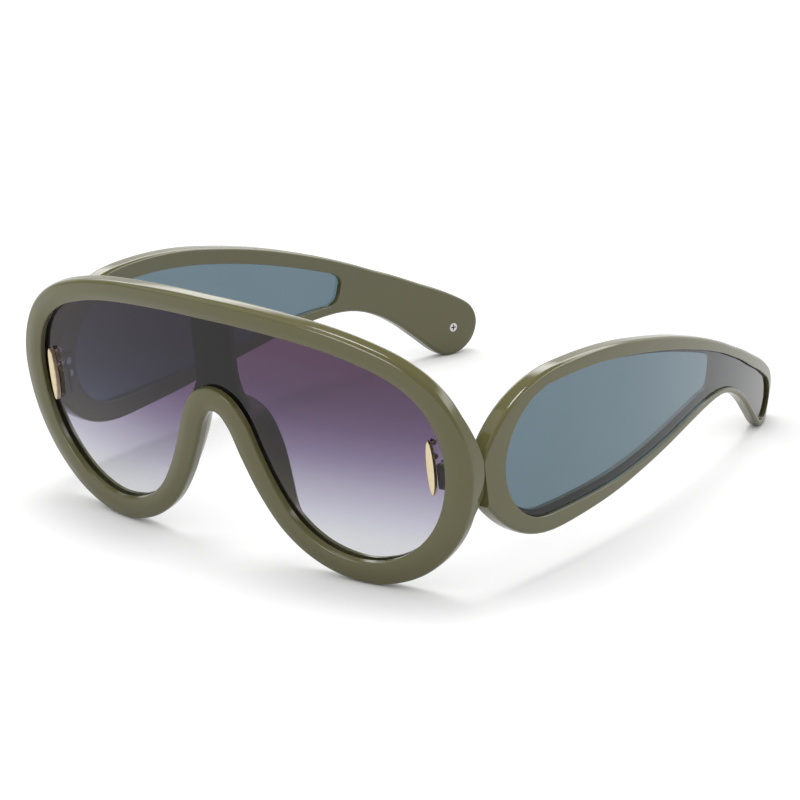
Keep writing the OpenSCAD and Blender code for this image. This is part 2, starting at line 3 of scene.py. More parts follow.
import bmesh
import bpy
from mathutils import Matrix, Vector


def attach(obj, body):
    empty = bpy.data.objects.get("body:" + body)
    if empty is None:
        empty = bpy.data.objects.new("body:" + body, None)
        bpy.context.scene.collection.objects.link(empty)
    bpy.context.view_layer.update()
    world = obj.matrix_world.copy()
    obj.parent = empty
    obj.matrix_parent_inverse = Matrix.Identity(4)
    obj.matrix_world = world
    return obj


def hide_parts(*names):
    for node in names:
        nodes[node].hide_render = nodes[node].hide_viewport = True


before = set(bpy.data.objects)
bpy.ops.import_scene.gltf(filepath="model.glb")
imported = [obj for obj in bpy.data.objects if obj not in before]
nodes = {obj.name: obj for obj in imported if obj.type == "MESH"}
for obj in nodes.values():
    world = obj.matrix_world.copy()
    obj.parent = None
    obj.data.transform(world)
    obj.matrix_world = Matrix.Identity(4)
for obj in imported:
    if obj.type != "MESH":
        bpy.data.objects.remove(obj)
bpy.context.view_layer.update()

# Oversized shield sunglasses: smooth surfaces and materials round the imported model.
# Shapes are worked out in millimetres in the model's own two poses, a front that leans back and
# temples that stand upright, and turned to metres when a mesh is made. Left and right are the
# wearer's: +X is left, +Y is back along the temples and +Z is up. What comes in pairs is built
# for the left and mirrored.

MM = 0.001

# ---------------------------------------------------------------- sizes, as in the part
OPENING_W, OPENING_H = 127.0, 58.4
WRAP_DEPTH, WRAP_FLAT = 7.8, 0.285
LEAN = radians(9.2)
RIM_T, RIM_W, RIM_ROUND, LIP_ROUND, BACK_ROUND, CROWN = 4.3, 7.0, 2.0, 0.6, 1.2, 0.35
EDGE_ROUND = 0.4
PAD_REACH, PAD_FLARE, PAD_FIRST, PAD_LAST = 6.5, 1.8, 15.0, 19.5
WEB_W, WEB_T = 12.0, 1.5
WEB_SHARES = [(1, 0.6), (1.04, 0.25), (1.14, -0.1), (1.33, -0.45), (1.45, -0.8)]
LENS_T, LENS_DEPTH, GROOVE = 1.4, 1.7, 1.5
BADGE_H, BADGE_W, BADGE_INSET, BADGE_Z = 14.6, 2.1, 4.0, -1.0
BADGE_PITCH, POST_D, CLIP_T, POST_LIFT, BADGE_STAND = 3.8, 0.8, 0.5, 3.9, 0.1
HINGE_H, KNUCKLE_D, LEAF_T, HINGE_Z = 6.8, 3.2, 0.7, -4.7
FRONT_LEAF_L, TEMPLE_LEAF_L = 2.5, 4.4
LUG_RISE, BUTT_RISE, TURN_GAP, JOINT_GAP = 0.6, 2.6, 0.3, 0.1
TEMPLE_L, TEMPLE_H, TEMPLE_T, TEMPLE_BOW, TEMPLE_STAND = 163.6, 42.0, 4.8, 20.3, 1.9
TEMPLE_RIM, RECESS_D, INSERT_T, LEDGE, TEMPLE_ROUND = 3.8, 0.9, 2.0, 1.1, 0.6
BOW_SHARE, TAPER_SHARE = 0.247, 0.17
TIP_HEAD_D, TIP_HEAD_T, RUN_GAP, SEAT_GAP = 2.6, 0.5, 0.05, 0.1
END_UP, END_DOWN, END_ROOT_UP, END_ROOT_DOWN = 5.0, 3.8, 19.5, 10.0

# Across, up and width of the rim, as shares of half the opening's width and height and of RIM_W,
# from the top middle down the left side to the top of the nose arch
OPENING_SHARES = [
    (0, 1, 0.79), (0.16, 0.995, 0.79), (0.34, 0.965, 0.79), (0.52, 0.91, 0.79), (0.68, 0.82, 0.8),
    (0.82, 0.69, 0.83), (0.92, 0.51, 0.88), (0.98, 0.27, 0.94), (1, 0, 1), (0.98, -0.33, 1),
    (0.92, -0.62, 0.98), (0.82, -0.85, 0.95), (0.7, -0.975, 0.91), (0.58, -0.995, 0.87),
    (0.45, -0.91, 0.83), (0.34, -0.725, 0.83), (0.26, -0.455, 0.87), (0.2, -0.16, 0.9),
    (0.15, 0.12, 0.92), (0.085, 0.3, 0.93), (0, 0.36, 0.93)]
# Along, up and half height of a temple, as shares of its length and height, and its upper and
# lower border round the recess, as shares of TEMPLE_RIM
TEMPLE_SHARES = [
    (0, 0.735, 0.43, 1, 1.15), (0.075, 0.75, 0.487, 1, 1.2), (0.163, 0.756, 0.5, 0.97, 1.25),
    (0.25, 0.764, 0.493, 0.96, 1.1), (0.336, 0.763, 0.464, 0.98, 0.9),
    (0.421, 0.756, 0.411, 0.95, 0.71), (0.507, 0.743, 0.346, 0.92, 0.62),
    (0.58, 0.724, 0.282, 0.88, 0.57), (0.648, 0.695, 0.223, 0.82, 0.54),
    (0.709, 0.653, 0.175, 0.76, 0.47), (0.758, 0.598, 0.15, 0.75, 0.42),
    (0.806, 0.524, 0.148, 0.8, 0.4), (0.855, 0.425, 0.16, 0.88, 0.4),
    (0.904, 0.31, 0.187, 0.9, 0.4), (0.949, 0.192, 0.203, 0.9, 0.45)]
NOSE_SHARE, RECESS_NOSE_SHARE, BUTT_SHARE = 0.184, 0.112, 0.0085
RECESS_START_SHARE, WINDOW_END_SHARE, END_ROUND_SHARE = 0.052, 0.7, 0.5
TIP_FADE = 6

# ---------------------------------------------------------------- forms of the visual pieces only
# True rounds stand out from the model's cut corners: the rim is drawn in by this much
EASE = 0.14
# The end-pieces are drawn in a little more, so that they never stand out from the rim
END_INSET = 0.03
# Rounds as they shine in the photograph: face to side of the rim, and the temple's edges
FACE_ROUND, ARM_ROUND_HIGH, ARM_ROUND_DEEP = 1.3, 1.0, 1.2
# On thin sections the temple's rounds shrink to these shares of the half height and thickness
ARM_SHARE_HIGH, ARM_SHARE_DEEP = 0.4, 0.3
# Inner edge of the rim's face: out and back as shares of LIP_ROUND, and the depth of its foot
LIP_SHARES = [(0, 1), (0.04, 0.62), (0.25, 0.25), (0.62, 0.02)]
LIP_FOOT = 1.4
# A nose pad rises and falls along the rim as a sine to this power
PAD_POWER = 0.95
# Edges of the recess and the window: depth, and how far each stands out as a share of MOUTH
MOUTH = 0.3
MOUTH_SHARES = [(0.0, 1.0), (0.04, 0.62), (0.12, 0.26), (0.3, 0.0)]
# Edge of an insert: depth below its face, and how far it is drawn in
INSERT_EDGE = [(0.0, -0.15), (0.06, -0.04), (0.15, 0.0)]
# Height above the badge's underside, and width as a share of BADGE_W
BADGE_PROFILE = [(0.0, 0.94), (0.12, 0.985), (0.35, 1.0), (0.8, 1.0), (1.02, 0.985), (1.2, 0.94),
                 (1.34, 0.86), (1.43, 0.74), (1.48, 0.5), (1.5, 0.2)]
# Its outline: how much faster it shrinks in height, how full it is, and how deep a post reaches
BADGE_TAPER, BADGE_FULLNESS, POST_SINK = 1.6, 0.95, 0.3
# Cutters stand out by this much from what they cut
CLEAR = 1.0
# Bevels of the end-pieces, of the tongues and of the temples' hinge seats
END_BEVEL, LUG_BEVEL, SEAT_BEVEL = 0.3, 0.5, 0.2
# Edges sharper than these angles stay sharp when a piece is shaded smooth
MOULDING_ANGLE, PLAIN_ANGLE, BADGE_ANGLE = 38, 35, 50
# How finely lines and rounds are divided
OPENING_STEPS, TEMPLE_STEPS, LENS_STEPS, BADGE_STEPS = 10, 8, 60, 72
FACE_STEPS, FACE_ROUND_STEPS, BACK_ROUND_STEPS, EDGE_ROUND_STEPS, PAD_STEPS = 6, 8, 5, 3, 16
ARM_ROUND_STEPS, POST_SIDES = 6, 24
NOSE_ANGLES = [3, 6, 9, 12, 16, 20, 24, 28, 33, 38, 43, 48, 54, 60, 66, 72, 78, 84]
TIP_ANGLES = [0, 8, 16, 24, 32, 40, 48, 56, 63, 70, 76, 81, 85]
END_ANGLES = [0, 12, 24, 35, 45, 54, 62, 69, 75, 80, 84]

HALF_W, HALF_H = OPENING_W / 2, OPENING_H / 2
BADGE_X = HALF_W - BADGE_INSET
TEMPLE_X = HALF_W + RIM_W + TEMPLE_STAND
LENS_FACE = LENS_DEPTH + SEAT_GAP / 2
GROOVE_BACK = LENS_DEPTH + LENS_T + SEAT_GAP
BEHIND_LENS = GROOVE_BACK + 2 * SEAT_GAP


# ---------------------------------------------------------------- lines and curves
def quarter(k, steps):
    """The angle at step k of a quarter turn."""
    return pi / 2 * k / steps


def wrap(x):
    """How far back the wrapped front lies at x."""
    s = x / HALF_W
    return WRAP_DEPTH * ((1 + WRAP_FLAT) * s ** 2 - WRAP_FLAT * s ** 4)


def wrap_angle(x):
    s = x / HALF_W
    return atan(WRAP_DEPTH / HALF_W * (2 * (1 + WRAP_FLAT) * s - 4 * WRAP_FLAT * s ** 3))


def blend(a, b, c, d, t):
    """The row at share t of the way from b to c, on a smooth line through a, b, c and d."""
    return tuple(q + t / 2 * (r - p + t * (2 * p - 5 * q + 4 * r - s + t * (3 * (q - r) + s - p)))
                 for p, q, r, s in zip(a, b, c, d))


def flow(rows, before, after, steps):
    """A smooth line through rows, with one more row known at each end."""
    p = [before] + rows + [after]
    line = [blend(p[i - 1], p[i], p[i + 1], p[i + 2], j / steps)
            for i in range(1, len(rows)) for j in range(steps)]
    return line + [rows[-1]]


def flip(row):
    return (-row[0],) + tuple(row[1:])


# ---------------------------------------------------------------- the opening of the front
opening_rows = [(a * HALF_W, b * HALF_H, c * RIM_W) for a, b, c in OPENING_SHARES]
half_line = flow(opening_rows, flip(opening_rows[1]), flip(opening_rows[-2]), OPENING_STEPS)
opening = half_line + [flip(p) for p in half_line[-2:0:-1]]
row_of = [i / OPENING_STEPS for i in range(len(half_line))]
row_of = row_of + row_of[-2:0:-1]
COUNT = len(opening)


def outward(i):
    """The way out from the opening at its point i, square to its edge."""
    a, b = opening[i - 1], opening[(i + 1) % COUNT]
    d = hypot(b[0] - a[0], b[1] - a[1])
    return (a[1] - b[1]) / d, (b[0] - a[0]) / d


def rim_point(i, u, d):
    """The point u out from the opening's point i, and d behind the wrapped face."""
    n = outward(i)
    x = opening[i][0] + u * n[0]
    return x, wrap(x) + d, opening[i][1] + u * n[1]


# The hinge: inner face of the temple, axis, seats of the leaves, and where temple and front meet
seat_of_hinge = TEMPLE_X - TEMPLE_BOW * (BOW_SHARE / (1 - BOW_SHARE)) ** 2 - TEMPLE_T
HINGE_X = seat_of_hinge - KNUCKLE_D / 2 - TURN_GAP
SEAT_Y = wrap(HINGE_X) + RIM_T + LUG_RISE
HINGE_Y = SEAT_Y + KNUCKLE_D / 2 + TURN_GAP
BUTT_Y = wrap(HINGE_X) + RIM_T + BUTT_RISE
LEAF_END = HINGE_X - KNUCKLE_D / 2 - TURN_GAP - FRONT_LEAF_L
TEMPLE_START = BUTT_Y * cos(LEAN) - HINGE_Z * sin(LEAN) - BUTT_SHARE * TEMPLE_L

# ---------------------------------------------------------------- a temple
temple_rows = [(a * TEMPLE_L, b * TEMPLE_H, c * TEMPLE_H, d * TEMPLE_RIM, e * TEMPLE_RIM)
               for a, b, c, d, e in TEMPLE_SHARES]


def beyond(a, b):
    """The row as far before a as b is behind it."""
    return tuple(2 * p - q for p, q in zip(a, b))


past_row = beyond(temple_rows[-1], temple_rows[-2])
past_row = past_row[:2] + (temple_rows[-2][2],) + past_row[3:]
temple_line = flow(temple_rows, beyond(temple_rows[0], temple_rows[1]), past_row, TEMPLE_STEPS)


def bow_x(y):
    """Where the bowed outer face of the temple lies at y."""
    return TEMPLE_X - TEMPLE_BOW * ((y / TEMPLE_L - BOW_SHARE) / (1 - BOW_SHARE)) ** 2


def thick(y):
    return TEMPLE_T * (1 - TAPER_SHARE * y / TEMPLE_L)


def heading_at_row(i):
    a, b = temple_line[max(0, i - 1)], temple_line[min(len(temple_line) - 1, i + 1)]
    d = hypot(b[0] - a[0], b[1] - a[1])
    return (b[0] - a[0]) / d, (b[1] - a[1]) / d


def row_before(y):
    return max([k for k in range(len(temple_line) - 1) if temple_line[k][0] <= y] + [0])


def row_at(y):
    i = row_before(y)
    a, b = temple_line[i], temple_line[i + 1]
    f = (y - a[0]) / (b[0] - a[0])
    return tuple(p + f * (q - p) for p, q in zip(a, b))


def heading_at(y):
    i = row_before(y)
    a, b = temple_line[i], temple_line[i + 1]
    f = min(1, max(0, (y - a[0]) / (b[0] - a[0])))
    p, q = heading_at_row(i), heading_at_row(i + 1)
    h = [p[k] + f * (q[k] - p[k]) for k in (0, 1)]
    d = hypot(*h)
    return h[0] / d, h[1] / d


def temple_point(c, h, v, e):
    """The point v above the middle line at c, square to its heading h, and e in from the face."""
    y = c[0] - v * h[1]
    return bow_x(y) - e, y, c[1] + v * h[0]


tip_row = temple_line[-1]
tip_heading = heading_at_row(len(temple_line) - 1)


def past_tip(reach):
    """The point of the middle line that lies past the last row by reach."""
    return tip_row[0] + reach * tip_heading[0], tip_row[1] + reach * tip_heading[1]


def nose_places(first, length):
    """Places in the round front end of a temple or a recess, with the share of the full height."""
    return [(first + length * (1 - cos(radians(a))), sin(radians(a))) for a in NOSE_ANGLES]


def row_places(first, last):
    return [(r[0], 1) for r in temple_line if first < r[0] < last]


def rounded(h, t, r, q):
    """Half of a section with rounded corners: places above the middle and in from the face."""
    angles = [quarter(k, ARM_ROUND_STEPS) for k in range(ARM_ROUND_STEPS + 1)]
    outer = [(h - r + r * sin(a), q - q * cos(a)) for a in angles]
    return outer + [(v, t - e) for v, e in reversed(outer)]


def temple_section(c, h, half, drawn_in):
    t = thick(c[0]) - 2 * drawn_in
    r = min(ARM_ROUND_HIGH, ARM_SHARE_HIGH * half)
    q = min(ARM_ROUND_DEEP, ARM_SHARE_DEEP * t)
    side = rounded(half, t, r, q)
    return ([temple_point(c, h, v, drawn_in + e) for v, e in side]
            + [temple_point(c, h, -v, drawn_in + e) for v, e in reversed(side)])


def body_sections():
    """Sections of the whole temple, from its round front end to its tip."""
    length = NOSE_SHARE * TEMPLE_L
    places = nose_places(0, length) + row_places(length, TEMPLE_L)
    sections = [temple_section(row_at(y), heading_at(y), row_at(y)[2] * k, 0) for y, k in places]
    for a in TIP_ANGLES:
        s, k = sin(radians(a)), cos(radians(a))
        sections.append(temple_section(past_tip((tip_row[2] - EASE) * s), tip_heading,
                                       tip_row[2] * k, TEMPLE_ROUND * s ** TIP_FADE))
    return sections


def from_face(depth):
    """A depth counted from the temple's outer face."""
    return lambda y: depth


def from_back(depth):
    """A depth counted from the temple's inner face."""
    return lambda y: thick(y) - depth


def slab_section(profile, c, h, up, low):
    return ([temple_point(c, h, up + more, depth(c[0])) for depth, more in profile]
            + [temple_point(c, h, -low - more, depth(c[0])) for depth, more in reversed(profile)])


def slab_sections(profile, is_window, drawn_in=0.0):
    """The recess, or the window in it. A row of the profile: depth, and how far it stands out."""
    length = RECESS_NOSE_SHARE * TEMPLE_L
    first, last = RECESS_START_SHARE * TEMPLE_L + drawn_in, WINDOW_END_SHARE * TEMPLE_L
    places = nose_places(first, length)
    if is_window:
        end_l = END_ROUND_SHARE * row_at(last)[2]
        places += row_places(first + length, last - end_l)
        places += [(last - end_l * (1 - sin(radians(a))), sqrt(cos(radians(a))))
                   for a in END_ANGLES]
    else:
        places += row_places(first + length, TEMPLE_L)
    sections = []
    for y, k in places:
        r = row_at(y)
        up, low = (r[2] - r[3] - drawn_in) * k, (r[2] - r[4] - drawn_in) * k
        sections.append(slab_section(profile, r, heading_at(y), up, low))
    if not is_window:
        up, low = tip_row[2] - tip_row[3] - drawn_in, tip_row[2] - tip_row[4] - drawn_in
        for a in TIP_ANGLES:
            s, k = sin(radians(a)), cos(radians(a))
            sections.append(slab_section(profile, past_tip((up + low) / 2 * s), tip_heading,
                                         up * k, low * k))
    return sections


# ---------------------------------------------------------------- the poses
rim_side = [rim_point(i, opening[i][2], RIM_ROUND) for i in range(COUNT)]
front_low = min(p[1] * sin(LEAN) + p[2] * cos(LEAN) for p in rim_side)
all_body = body_sections()
temple_low = min(p[2] for s in all_body for p in s)
temple_end = TEMPLE_START + max(p[1] for s in all_body for p in s)
front_face = -CROWN * cos(LEAN) - (HALF_H + opening_rows[0][2] / 2) * sin(LEAN)
DEPTH_MID = (temple_end + front_face) / 2

FRONT_POSE = Matrix.Translation((0, -DEPTH_MID, -front_low)) @ Matrix.Rotation(LEAN, 4, "X")
TEMPLE_POSE = Matrix.Translation((0, TEMPLE_START - DEPTH_MID, -temple_low))
tip_slope = atan(2 * TEMPLE_BOW * (tip_row[0] / TEMPLE_L - BOW_SHARE) / (1 - BOW_SHARE) ** 2
                 / TEMPLE_L)
# The tip screw's pose: its origin lies on the temple's inner face, and +Z points out of it
SCREW_POSE = (TEMPLE_POSE
              @ Matrix.Translation((bow_x(tip_row[0]) - thick(tip_row[0]), tip_row[0], tip_row[1]))
              @ Matrix.Rotation(tip_slope, 4, "Z") @ Matrix.Rotation(-pi / 2, 4, "Y"))
# Turns that stand an outline up: its X and Y become X and Z, or Y and Z
UPRIGHT = Matrix.Rotation(pi / 2, 4, "X")
SIDEWAYS = Matrix(((0, 0, 1, 0), (1, 0, 0, 0), (0, 1, 0, 0), (0, 0, 0, 1)))
TO_METRES = Matrix.Scale(MM, 4)


# ---------------------------------------------------------------- mesh tools
def make(name, points, faces, pose):
    mesh = bpy.data.meshes.new(name)
    mesh.from_pydata([tuple(TO_METRES @ (pose @ Vector(p))) for p in points], [], faces)
    mesh.validate()
    obj = bpy.data.objects.new(name, mesh)
    bpy.context.scene.collection.objects.link(obj)
    bm = bmesh.new()
    bm.from_mesh(mesh)
    bmesh.ops.recalc_face_normals(bm, faces=bm.faces)
    bm.to_mesh(mesh)
    bm.free()
    return obj


def tube(sections, ring=False):
    """Points and faces of a tube through sections, closed to a ring or capped at its ends."""
    n, m = len(sections), len(sections[0])
    faces = [(i * m + j, i * m + (j + 1) % m, (i + 1) % n * m + (j + 1) % m, (i + 1) % n * m + j)
             for i in range(n if ring else n - 1) for j in range(m)]
    if not ring:
        faces += [tuple(range(m)), tuple(range((n - 1) * m, n * m))]
    return [p for s in sections for p in s], faces


def prism(outline, low, high):
    """Points and faces of an outline in X and Y, drawn up from low to high."""
    m = len(outline)
    faces = [(j, (j + 1) % m, m + (j + 1) % m, m + j) for j in range(m)]
    faces += [tuple(range(m)), tuple(range(m, 2 * m))]
    return [(x, y, low) for x, y in outline] + [(x, y, high) for x, y in outline], faces


def settle(obj):
    """Applies the modifiers of an object to its mesh."""
    mesh = bpy.data.meshes.new_from_object(
        obj.evaluated_get(bpy.context.evaluated_depsgraph_get()))
    obj.modifiers.clear()
    obj.data = mesh


def cut(obj, tools, operation="DIFFERENCE"):
    """Cuts tools from an object, or joins them to it, one by one, and uses them up."""
    for tool in tools:
        bpy.context.view_layer.update()
        step = obj.modifiers.new("cut", "BOOLEAN")
        step.operation = operation
        step.object = tool
        step.solver = "MANIFOLD"
        settle(obj)
        bpy.data.objects.remove(tool)


def add_bevel(obj, name, width, segments, angle):
    step = obj.modifiers.new(name, "BEVEL")
    step.width = width * MM
    step.segments = segments
    step.limit_method = "ANGLE"
    step.angle_limit = radians(angle)


def bevel(obj, width, segments=3):
    add_bevel(obj, "bevel", width, segments, angle=30)
    settle(obj)


def smooth(obj, angle):
    obj.data.shade_smooth()
    obj.data.set_sharp_from_angle(angle=radians(angle))


def mirrored(obj, name):
    mesh = obj.data.copy()
    mesh.transform(Matrix.Scale(-1, 4, (1, 0, 0)))
    mesh.flip_normals()
    other = bpy.data.objects.new(name, mesh)
    bpy.context.scene.collection.objects.link(other)
    return other


def cylinder(name, radius, low, high, pose, sides=48):
    turns = [2 * pi * k / sides for k in range(sides)]
    return make(name, *prism([(radius * cos(a), radius * sin(a)) for a in turns], low, high), pose)


# ---------------------------------------------------------------- front frame
def rim_section(i):
    """Section of the rim, nose pads included, as (out from the opening, back from the face)."""
    w, row = opening[i][2] - EASE, row_of[i]
    rise = 0.0
    if PAD_FIRST < row < PAD_LAST:
        rise = sin(pi * (row - PAD_FIRST) / (PAD_LAST - PAD_FIRST)) ** PAD_POWER
    out = [(0, LENS_DEPTH), (0, LIP_FOOT)]
    out += [(u * LIP_ROUND, d * LIP_ROUND) for u, d in LIP_SHARES]
    # The crowned face, and the round down to its side
    flat = w - LIP_ROUND - FACE_ROUND
    out += [(LIP_ROUND + flat * k / FACE_STEPS, -CROWN * (1 - (2 * k / FACE_STEPS - 1) ** 2))
            for k in range(FACE_STEPS + 1)]
    for k in range(1, FACE_ROUND_STEPS + 1):
        a = quarter(k, FACE_ROUND_STEPS)
        out.append((w - FACE_ROUND + FACE_ROUND * sin(a), FACE_ROUND * (1 - cos(a))))
    # The side, and the round to the back
    out.append((w, FACE_ROUND + (RIM_T - BACK_ROUND - FACE_ROUND) / 2))
    for k in range(BACK_ROUND_STEPS + 1):
        a = quarter(k, BACK_ROUND_STEPS)
        out.append((w - BACK_ROUND * (1 - cos(a)), RIM_T - BACK_ROUND + BACK_ROUND * sin(a)))
    # The back, which swells to a nose pad beside the arch
    left, right = EDGE_ROUND, w - BACK_ROUND
    for k in range(1, PAD_STEPS):
        a = pi * k / PAD_STEPS
        u = (left + right) / 2 + (right - left) / 2 * cos(a)
        out.append((u - PAD_FLARE * rise * sin(a) ** 2, RIM_T + PAD_REACH * rise * sin(a)))
    for k in range(EDGE_ROUND_STEPS + 1):
        a = quarter(k, EDGE_ROUND_STEPS)
        out.append((EDGE_ROUND * (1 - sin(a)), RIM_T - EDGE_ROUND + EDGE_ROUND * cos(a)))
    return out + [(0, GROOVE_BACK), (GROOVE, GROOVE_BACK), (GROOVE, LENS_DEPTH)]


def build_web():
    """The plate behind the lens, between the rim's top and the nose arch."""
    half = [(WEB_W / 2, HALF_H + GROOVE)]
    half += [(a * WEB_W / 2, opening_rows[-1][1] + b * RIM_W) for a, b in WEB_SHARES]
    outline = half + [(-x, z) for x, z in reversed(half)]
    low = -(BEHIND_LENS + WEB_T)
    return make("web", *prism(outline, low, low + WEB_T), FRONT_POSE @ UPRIGHT)


def build_end(end_in):
    """The left end-piece: it fills the rim's outline and tapers back to meet the temple."""
    edge = [rim_point(i, opening[i][2] - EASE - END_INSET, 0) for i in range(COUNT)]
    end = make("end", *prism([(p[0], p[2]) for p in edge], -BUTT_Y, 0), FRONT_POSE @ UPRIGHT)
    root_y, back_y = wrap(HALF_W + RIM_W / 2) + RIM_T - BACK_ROUND, BUTT_Y - JOINT_GAP
    side = [(root_y, HINGE_Z + END_ROOT_UP), (back_y, HINGE_Z + END_UP),
            (back_y, HINGE_Z - END_DOWN), (root_y, HINGE_Z - END_ROOT_DOWN)]
    tool = make("side", *prism(side, end_in, end_in + RIM_W), FRONT_POSE @ SIDEWAYS)
    cut(end, [tool], "INTERSECT")
    bevel(end, END_BEVEL)
    return end


def build_lug(end_in, s):
    """The tongue that carries the front leaf of a hinge, on side s of the middle."""
    shape = [(LEAF_END, wrap(LEAF_END) + BEHIND_LENS), (HALF_W, wrap(HALF_W) + BEHIND_LENS),
             (end_in + BACK_ROUND, wrap(end_in) + BEHIND_LENS), (end_in + BACK_ROUND, SEAT_Y),
             (LEAF_END, SEAT_Y)]
    pose = FRONT_POSE @ Matrix.Translation((0, 0, HINGE_Z - HINGE_H / 2))
    lug = make("lug", *prism([(s * x, y) for x, y in shape], 0, HINGE_H), pose)
    bevel(lug, LUG_BEVEL, 4)
    return lug


def build_front():
    sections = [[rim_point(i, u, d) for u, d in rim_section(i)] for i in range(COUNT)]
    front = make("moulded_front", *tube(sections, ring=True), FRONT_POSE)
    end_in = max(HALF_W + GROOVE + EDGE_ROUND, seat_of_hinge + TURN_GAP)
    web, end = build_web(), build_end(end_in)
    cut(front, [web, end, mirrored(end, "end_right"), build_lug(end_in, 1), build_lug(end_in, -1)],
        "UNION")
    smooth(front, MOULDING_ANGLE)
    return front


# ---------------------------------------------------------------- shield lens
def build_lens():
    xs = [(HALF_W + RIM_W) * (k / LENS_STEPS - 1) for k in range(2 * LENS_STEPS + 1)]
    outline = [(x, wrap(x) + LENS_FACE) for x in xs]
    outline += [(x, wrap(x) + LENS_FACE + LENS_T) for x in reversed(xs)]
    sheet = make("gradient_lens", *prism(outline, -OPENING_H, OPENING_H), FRONT_POSE)
    edge = [rim_point(i, GROOVE - SEAT_GAP, 0) for i in range(0, COUNT, 2)]
    tool = make("outline", *prism([(p[0], p[2]) for p in edge], -OPENING_H, OPENING_H),
                FRONT_POSE @ UPRIGHT)
    cut(sheet, [tool], "INTERSECT")
    smooth(sheet, PLAIN_ANGLE)
    return sheet


# ---------------------------------------------------------------- badges
def build_badge():
    """A domed plate with rounded edges on two posts."""
    sections = []
    for lift, share in BADGE_PROFILE:
        inset = (1 - share) * BADGE_W / 2
        a, b = BADGE_W / 2 - inset, BADGE_H / 2 - BADGE_TAPER * inset
        ring = []
        for k in range(BADGE_STEPS):
            t = 2 * pi * k / BADGE_STEPS
            c = cos(t)
            ring.append((a * (1 if c > 0 else -1) * abs(c) ** BADGE_FULLNESS, b * sin(t),
                         BADGE_STAND + lift))
        sections.append(ring)
    pose = (FRONT_POSE @ (Matrix.Translation((BADGE_X, wrap(BADGE_X) + LENS_FACE, BADGE_Z))
                          @ Matrix.Rotation(wrap_angle(BADGE_X), 4, "Z") @ UPRIGHT))
    badge = make("gold_badge_left", *tube(sections), pose)
    for s in (1, -1):
        post_pose = pose @ Matrix.Translation((0, POST_LIFT + s * BADGE_PITCH / 2, 0))
        cut(badge, [cylinder("post", POST_D / 2, -LENS_T - 2 * CLIP_T, BADGE_STAND + POST_SINK,
                             post_pose, POST_SIDES)], "UNION")
    smooth(badge, BADGE_ANGLE)
    return badge


# ---------------------------------------------------------------- temples
def cut_off_butt(arm):
    """Takes off what lies in front of the leaning plane where temple and front meet."""
    bm = bmesh.new()
    bm.from_mesh(arm.data)
    place = TO_METRES @ (FRONT_POSE @ Vector((0, BUTT_Y + JOINT_GAP, 0)))
    normal = FRONT_POSE.to_3x3() @ Vector((0, 1, 0))
    got = bmesh.ops.bisect_plane(bm, geom=bm.verts[:] + bm.edges[:] + bm.faces[:], dist=1e-7,
                                 plane_co=place, plane_no=normal, clear_inner=True)
    edges = [e for e in got["geom_cut"] if isinstance(e, bmesh.types.BMEdge)]
    bmesh.ops.holes_fill(bm, edges=edges)
    bm.to_mesh(arm.data)
    bm.free()


def build_arm():
    arm = make("temple_moulding_left", *tube(all_body), TEMPLE_POSE)
    recess = [(from_face(-CLEAR), CLEAR + MOUTH)]
    recess += [(from_face(d), share * MOUTH) for d, share in MOUTH_SHARES]
    recess += [(from_face(RECESS_D + INSERT_T + SEAT_GAP), 0.0)]
    window = [(from_face(RECESS_D), 0.0)]
    window += [(from_back(d), share * MOUTH) for d, share in reversed(MOUTH_SHARES)]
    window += [(from_back(-CLEAR), CLEAR + MOUTH)]
    cut(arm, [make("recess", *tube(slab_sections(recess, False)), TEMPLE_POSE),
              make("window", *tube(slab_sections(window, True, LEDGE)), TEMPLE_POSE),
              cylinder("head", TIP_HEAD_D / 2 + RUN_GAP, -TIP_HEAD_T, CLEAR, SCREW_POSE)])
    cut_off_butt(arm)
    # The raised seat of the hinge leaf
    x0, x1 = seat_of_hinge, seat_of_hinge + (LEAF_T + EDGE_ROUND)
    y0 = HINGE_Y + KNUCKLE_D / 2 + TURN_GAP - LEAF_T
    y1 = y0 + TEMPLE_LEAF_L + 2 * LEAF_T
    low = HINGE_Z - HINGE_H / 2
    pad = make("pad", *prism([(x0, y0), (x1, y0), (x1, y1), (x0, y1)], low, low + HINGE_H),
               FRONT_POSE)
    bevel(pad, SEAT_BEVEL)
    cut(arm, [pad], "UNION")
    smooth(arm, MOULDING_ANGLE)
    return arm


def build_insert():
    back = RECESS_D + INSERT_T
    profile = [(from_face(RECESS_D + d), more) for d, more in INSERT_EDGE]
    profile += [(from_face(back - d), more) for d, more in (INSERT_EDGE[-1], INSERT_EDGE[0])]
    insert = make("temple_insert_left", *tube(slab_sections(profile, False, SEAT_GAP)), TEMPLE_POSE)
    smooth(insert, PLAIN_ANGLE)
    return insert


# ---------------------------------------------------------------- tools for materials
def srgb(r, g, b):
    """A colour as written on a screen, from 0 to 255, turned to light."""
    def light(v):
        v = v / 255
        return v / 12.92 if v <= 0.04045 else ((v + 0.055) / 1.055) ** 2.4
    return light(r), light(g), light(b), 1.0


def root(colour):
    """The colour of a transparent surface of which two in a row let the given colour through."""
    return tuple(sqrt(v) for v in colour[:3]) + (1.0,)


def add(tree, kind, settings=None, **values):
    """A node with its settings and inputs. An input is named, or counted as in i0."""
    node = tree.nodes.new(kind)
    for key, value in (settings or {}).items():
        setattr(node, key, value)
    for key, value in values.items():
        counted = key[0] == "i" and key[1:].isdigit()
        socket = node.inputs[int(key[1:]) if counted else key.replace("_", " ")]
        if isinstance(value, bpy.types.NodeSocket):
            tree.links.new(value, socket)
        else:
            socket.default_value = value
    return node


def maths(tree, operation, a, b):
    return add(tree, "ShaderNodeMath", {"operation": operation}, i0=a, i1=b).outputs[0]


